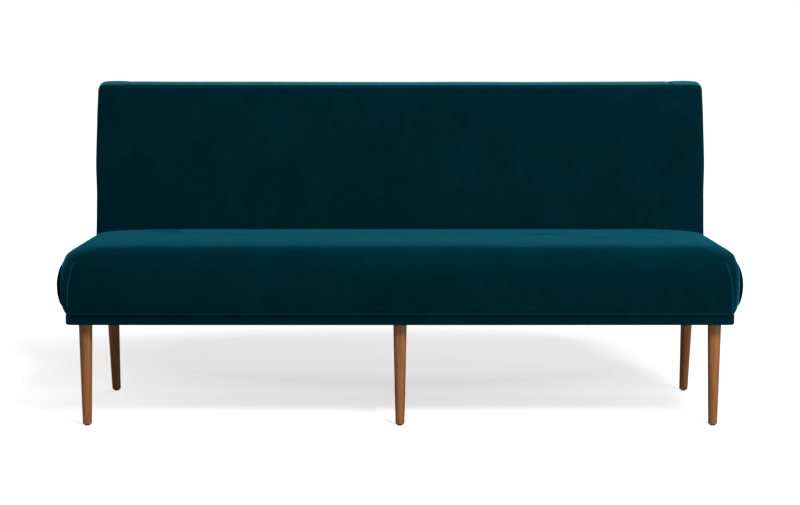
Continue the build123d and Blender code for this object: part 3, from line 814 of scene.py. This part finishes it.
# Back padding. Widths are half widths at heights. The roll is the rounded top edge, deeper in front
# than at the sides. Corners of the seams go from their upright run to their level one.
back = {
    "widths": [
        (300.0, 861.0), (470.0, 863.0), (555.0, 864.0),
        (670.0, 867.6), (780.0, 866.6), (872.0, 864.4),
    ],
    "top": 888 * mm,
    "bottom": 300.5 * mm,
    "tuck": 1.5 * mm,
    "roll": 26 * mm,
    "sideRoll": 17 * mm,
    "frontRadius": 16 * mm,
    "lowFrontRadius": 3 * mm,
    "rearRadius": 10 * mm,
    "cornerShare": 0.42,
    "sideSteps": 12,
    "cornerSteps": 8,
    "rearCornerSteps": 6,
    "markStep": 13 * mm,
    "fineStep": 3.5 * mm,
    "cornerMark": 847 * mm,
    "levels": 70,
    "rollSteps": 10,
    "capDraws": [3.0, 8.0, 14.0, 20.0, 25.0],
    "capRise": 0.2 * mm,
    "facePuff": 5.5 * mm,
    "rearPuffShare": 0.3,
    "puffReach": 24 * mm,
    "puffEdge": 20 * mm,
    "topRamp": (840 * mm, 40 * mm),
    "topSag": 2 * mm,
    "endPuff": 1.4 * mm,
    "endPuffLength": 88 * mm,
    "faceSeamInset": 11 * mm,
    "faceSeamTop": 879 * mm,
    "faceSeamHeights": (470, 520, 580, 640, 700, 760, 810, 845),
    "faceSeamCorner": ((1, 22), (4, 11), (11, 3), (26, 0)),
    "faceSeamDips": ((600, 0.6), (300, 1.4)),
    "faceSeamDip": 1.8 * mm,
    "rearSeamInset": 9 * mm,
    "rearSeamHeights": (306, 360, 420, 480, 540, 600, 660, 720, 780, 830, 860),
    "rearSeamCorner": ((3, 873), (10, 881), (22, 885), (60, 886)),
    "rearSeamEnd": (400 * mm, 885 * mm),
    "topSeamX": 775 * mm,
    "topSeamFrontX": 782 * mm,
    "topSeamLean": 0.35,
    "topSeamShift": 6 * mm,
    "topSeamAngles": (12, 30, 50, 70, 90),
    "topSeamShares": (0.25, 0.5, 0.75, 1.0),
    "topSeamRear": 10 * mm,
    "seamStep": 4 * mm,
    "topSeamStep": 3 * mm,
    "seamWidth": 7 * mm,
    "seamDepth": 1.6 * mm,
    "topSeamWidth": 11 * mm,
    "topSeamDepth": 3 * mm,
    "unevenHeight": 1 * mm,
    "unevenSize": 0.2,
    # Which faces take the painted highlight: how far above the face seam, and how steeply upwards
    # they face.
    "highlightMargin": 0.5 * mm,
    "highlightSlope": 0.3,
    "heldBelow": 330 * mm,
    "settleMost": 1.5 * mm,
    "weltRadius": 1.2 * mm,
    "weltLift": 0.4 * mm,
}


def backHalf(z):
    rows = back["widths"]
    level = z / mm
    for (lowZ, low), (highZ, high) in zip(rows, rows[1:]):
        if level <= highZ or highZ == rows[-1][0]:
            return (low + (high - low) * smoothStep((level - lowZ) / (highZ - lowZ))) * mm


def backLevels():
    # Heights, each with how far the outline is drawn in at the front and at the sides and rear
    rollStart = back["top"] - back["roll"]
    levels = [(back["bottom"] - back["tuck"], back["tuck"], back["tuck"])]
    for step in range(back["levels"]):
        z = back["bottom"] + (rollStart - back["bottom"]) * step / back["levels"]
        levels.append((z, 0.0, 0.0))
    for step in range(back["rollSteps"] + 1):
        angle = math.pi / 2 * step / back["rollSteps"]
        share = 1 - math.cos(angle)
        z = rollStart + back["roll"] * math.sin(angle)
        levels.append((z, share * back["roll"], share * back["sideRoll"]))
    for number, draw in enumerate(back["capDraws"]):
        z = back["top"] + back["capRise"] * (number + 1)
        levels.append((z, back["roll"] + draw * mm, back["sideRoll"] + draw * mm))
    return levels


def faceFullness(x, z):
    # How full the face panel stands, from 0 at its seam to nearly 1 away from it
    fromSide = backHalf(z) - back["faceSeamInset"] - abs(x)
    fromTop = back["faceSeamTop"] - z
    if fromSide <= 0 or fromTop <= 0:
        return 0.0
    reach = back["puffReach"]
    return (1 - math.exp(-fromSide / reach)) * (1 - math.exp(-fromTop / reach))


def backMesh():
    marks = [back["topSeamX"], back["cornerMark"]]
    shares = markShares(back["cornerMark"], back["markStep"], back["fineStep"], marks)
    counts = (back["sideSteps"], back["cornerSteps"], len(shares) - 1, back["rearCornerSteps"])
    topStart, topLength = back["topRamp"]
    edge = back["puffEdge"]
    rings = []
    for z, frontDraw, draw in backLevels():
        front, rear = backFront(z) + frontDraw, backRear(z) - draw
        wide = backHalf(z) - draw
        mostRadius = back["cornerShare"] * (rear - front)
        frontRadius = min(lowCorner(back["lowFrontRadius"], back["frontRadius"], z), mostRadius)
        rearRadius = min(back["rearRadius"], mostRadius)
        ring = planRing(z, wide, front, rear, frontRadius, rearRadius, shares, counts)
        nearTop = clamp((z - topStart) / topLength)
        for point in ring:
            onFace = clamp((front + edge - point.y) / edge)
            onRear = clamp((point.y - rear + edge) / edge)
            move = back["rearPuffShare"] * onRear - onFace
            point.y += faceFullness(point.x, z) * move * back["facePuff"]
            place = abs(point.x) / back["topSeamX"]
            if place < 1:
                point.z -= back["topSag"] * nearTop * (1 - place * place)
            else:
                share = clamp((abs(point.x) - back["topSeamX"]) / back["endPuffLength"])
                point.z += back["endPuff"] * nearTop * math.sin(math.pi * share)
        rings.append(ring)
    return stackRings("back_upholstery", rings, counts)


def bothSides(half, middle):
    # A run of points from the left foot over the middle to the right foot
    return [(-x, y, z) for x, y, z in half] + middle + list(reversed(half))


def backLines(mesh, lift):
    # Face seam, rear seam and the two short seams over the top, as lines on the back's surface
    surface = surfaceOf(mesh)
    top, inset = back["faceSeamTop"], back["faceSeamInset"]
    wide = backHalf(top)
    half = [(backHalf(z * mm) - inset, 0.0, z * mm) for z in back["faceSeamHeights"]]
    for inwards, down in back["faceSeamCorner"]:
        half.append((wide - inset - inwards * mm, 0.0, top - down * mm))
    half += [(x * mm, 0.0, top - dip * mm) for x, dip in back["faceSeamDips"]]
    rough = bothSides(half, [(0.0, 0.0, top - back["faceSeamDip"])])
    lines = [castOnto(surface, smoothPath(rough, back["seamStep"]), Vector((0, 1, 0)), lift)]

    def onRear(x, z):
        return x, backRear(z) - back["rearSeamInset"], z

    half = [onRear(backHalf(z * mm), z * mm) for z in back["rearSeamHeights"]]
    half += [onRear(wide - inwards * mm, z * mm) for inwards, z in back["rearSeamCorner"]]
    half.append(onRear(*back["rearSeamEnd"]))
    lines.append(nearestOn(surface, smoothPath(bothSides(half, []), back["seamStep"]), lift))
    for side in (-1, 1):
        rough = []
        for angle in back["topSeamAngles"]:
            draw = back["roll"] * (1 - math.cos(math.radians(angle)))
            z = back["top"] - back["roll"] * (1 - math.sin(math.radians(angle)))
            x = back["topSeamFrontX"] - back["topSeamLean"] * draw
            rough.append((side * x, backFront(z) + draw, z))
        run = backThickness - back["roll"] - back["topSeamRear"]
        for share in back["topSeamShares"]:
            y = backFront(back["top"]) + back["roll"] + share * run
            rough.append((side * (back["topSeamX"] - back["topSeamShift"] * share), y, back["top"]))
        lines.append(nearestOn(surface, smoothPath(rough, back["topSeamStep"]), lift))
    return lines


backCover = backMesh()
sewn = sinkAlong(backCover, backLines(backCover, 0.0), back["seamWidth"], back["seamDepth"])
topSeams = backLines(backCover, 0.0)[2:]
sewn += sinkAlong(backCover, topSeams, back["topSeamWidth"], back["topSeamDepth"])
unevenCover(backCover, back["unevenHeight"], back["unevenSize"])
backPiece = showPiece("back_upholstery", backCover, velvet)
# Upward-facing faces above the face seam take the lighter velvet, a painted highlight on the top
# edge.
backCover.materials.append(topHighlightVelvet)
for face in backCover.polygons:
    aboveSeam = face.center.z > back["faceSeamTop"] - back["highlightMargin"]
    if aboveSeam and face.normal.z > back["highlightSlope"]:
        face.material_index = 1
heldPoints = [vertex.index for vertex in backCover.vertices if vertex.co.z < back["heldBelow"]]
settleCover(backPiece, sewn + heldPoints, back["settleMost"])
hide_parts("inside_back_cover", "outside_back_cover", "back_top_boxing",
            "back_end_boxing_left", "back_end_boxing_right", "back_foam")
values = {"Radius": back["weltRadius"], "Material": velvet}
backWires = wireMesh("back_lines", backLines(backCover, back["weltLift"]))
showPiece("back_seams", grownMesh("back_seams", welts, backWires, values), velvet)
print("back is up:", len(backCover.vertices), "points")

# Padded band round the base
band = {
    "thickness": 10 * mm,
    "corner": 15 * mm,
    "edge": 4.2 * mm,
}
bandSize = bandHigh - bandLow
values = {
    "Width": bandSize.x - band["thickness"],
    "Depth": bandSize.y - band["thickness"],
    "Corner": band["corner"],
    "Thickness": band["thickness"],
    "Height": bandSize.z,
    "Edge": band["edge"],
    "Middle": tuple((bandLow + bandHigh) / 2),
    "Material": velvet,
}
bandMesh = grownMesh("base_band_cover", bandTree(), bpy.data.meshes.new("band_seed"), values)
bandPiece = showPiece("base_band_cover", bandMesh, velvet)
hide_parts("base_band")
print("band is up:", [round(value, 4) for value in bandPiece.dimensions], "for", list(bandSize))

# Staples round the dust cover
staples = {
    "inset": 9 * mm,
    "step": 38 * mm,
    "size": (10 * mm, 1.3 * mm, 0.9 * mm),
    "sink": 0.3 * mm,
    "ends": (0.01, 0.99),
}
low = dustLow + Vector((staples["inset"], staples["inset"], -staples["sink"]))
high = dustHigh - Vector((staples["inset"], staples["inset"], 0))
ends = [(low.x, low.y), (high.x, low.y), (high.x, high.y), (low.x, high.y)]
stapleLines = []
for start, end in zip(ends, ends[1:] + ends[:1]):
    first, last = Vector((*start, low.z)), Vector((*end, low.z))
    stapleLines.append([first.lerp(last, share) for share in staples["ends"]])
values = {"Step": staples["step"], "Size": staples["size"], "Material": steel}
stapleWires = wireMesh("staple_lines", stapleLines)
stapleMesh = grownMesh("dust_cover_staples", stapleTree(), stapleWires, values)
showPiece("dust_cover_staples", stapleMesh, steel)
print("staples are in:", len(stapleMesh.polygons), "faces")


# White studio: floor, sky, lamps and camera. Each lamp has a place, a size and a power. The floor
# glows for the camera alone, least behind the bench and more outwards in an oval, so the dim oval
# is painted shade that deepens the bench's shadow.
studio = {
    "glowScale": (0.65, 1.0, 1.0),
    "glowShift": (0.0, -0.85, 0.0),
    "nearReach": (0.5, 0.98),
    "nearGlow": (0.5, 0.77),
    "farReach": (1.3, 2.6),
    "farGlow": 0.28,
    "floorSize": 60.0,
    "floorDrop": 0.4 * mm,
    "skyLevel": 0.36,
    "skySeen": 1.05,
    "lamps": [
        ("key", (1.6, -3.45, 3.9), 1.4, 420.0),
        ("fill", (3.2, -2.8, 0.9), 1.6, 55.0),
        ("top", (0.3, 0.6, 3.4), 2.6, 50.0),
    ],
    "lampAim": (0.0, 0.0, 0.4),
    # The camera's place, pitch and lens come from a fit to the bench's edges and feet in the photo.
    "cameraPlace": (0.0, -5.0827, 0.977),
    "cameraPitch": 90 - 6.19,
    "cameraLens": 83.79,
}


def floorMaterial():
    # Matt white paper that reads as pure white where it is lit and keeps the bench's shadow,
    # darkened further near the bench by a dimmer glow, which is painted shade
    material = bpy.data.materials.new("white_paper")
    material.use_nodes = True
    tree = material.node_tree
    tree.nodes.clear()
    seen = addNode(tree, "ShaderNodeLightPath").outputs["Is Camera Ray"]
    place = addNode(tree, "ShaderNodeTexCoord").outputs["Object"]
    inputs = {"Vector": place, "Scale": studio["glowScale"], "Location": studio["glowShift"]}
    oval = addNode(tree, "ShaderNodeMapping", None, inputs).outputs[0]
    length = addNode(tree, "ShaderNodeVectorMath", {"operation": "LENGTH"}, {0: oval})
    reach = length.outputs["Value"]
    # Lowest glow in the oval behind the bench: painted shade on the floor.
    near = rangeOf(tree, reach, studio["nearReach"], studio["nearGlow"])
    far = rangeOf(tree, reach, studio["farReach"], (0.0, studio["farGlow"]))
    glowLevel = addNode(tree, "ShaderNodeMath", {"operation": "ADD"}, {0: near, 1: far}).outputs[0]
    level = addNode(tree, "ShaderNodeMath", {"operation": "MULTIPLY"}, {0: seen, 1: glowLevel})
    matt = addNode(tree, "ShaderNodeBsdfDiffuse", None, {"Color": colour("#ADADAD")})
    inputs = {"Color": colour("#FFFFFF"), "Strength": level.outputs[0]}
    glow = addNode(tree, "ShaderNodeEmission", None, inputs)
    both = addNode(tree, "ShaderNodeAddShader", None, {0: matt.outputs[0], 1: glow.outputs[0]})
    addNode(tree, "ShaderNodeOutputMaterial", None, {"Surface": both.outputs[0]})
    return material


floorPlace = (0.0, 0.0, -studio["floorDrop"])
bpy.ops.mesh.primitive_plane_add(size=studio["floorSize"], location=floorPlace)
floor = bpy.context.active_object
floor.name = "studio_floor"
floor.data.materials.append(floorMaterial())

world = bpy.data.worlds.new("studio_sky")
world.use_nodes = True
scene.world = world
skyTree = world.node_tree
skyTree.nodes.clear()
seenSky = addNode(skyTree, "ShaderNodeLightPath").outputs["Is Camera Ray"]
skyLevel = rangeOf(skyTree, seenSky, (0.0, 1.0), (studio["skyLevel"], studio["skySeen"]))
inputs = {"Color": colour("#FFFFFF"), "Strength": skyLevel}
sky = addNode(skyTree, "ShaderNodeBackground", None, inputs)
addNode(skyTree, "ShaderNodeOutputWorld", None, {"Surface": sky.outputs[0]})

for lampName, place, size, power in studio["lamps"]:
    lamp = bpy.data.lights.new(lampName, "AREA")
    lamp.size = size
    lamp.energy = power
    holder = bpy.data.objects.new(lampName, lamp)
    holder.location = place
    aim = Vector(studio["lampAim"]) - Vector(place)
    holder.rotation_euler = aim.to_track_quat("-Z", "Y").to_euler()
    scene.collection.objects.link(holder)

cameraData = bpy.data.cameras.new("camera")
cameraData.sensor_fit = "HORIZONTAL"
cameraData.sensor_width = 36.0
cameraData.lens = studio["cameraLens"]
camera = bpy.data.objects.new("camera", cameraData)
camera.location = studio["cameraPlace"]
camera.rotation_euler = (math.radians(studio["cameraPitch"]), 0.0, 0.0)
scene.collection.objects.link(camera)
scene.camera = camera
scene.view_settings.view_transform = "Standard"
print("studio is set")
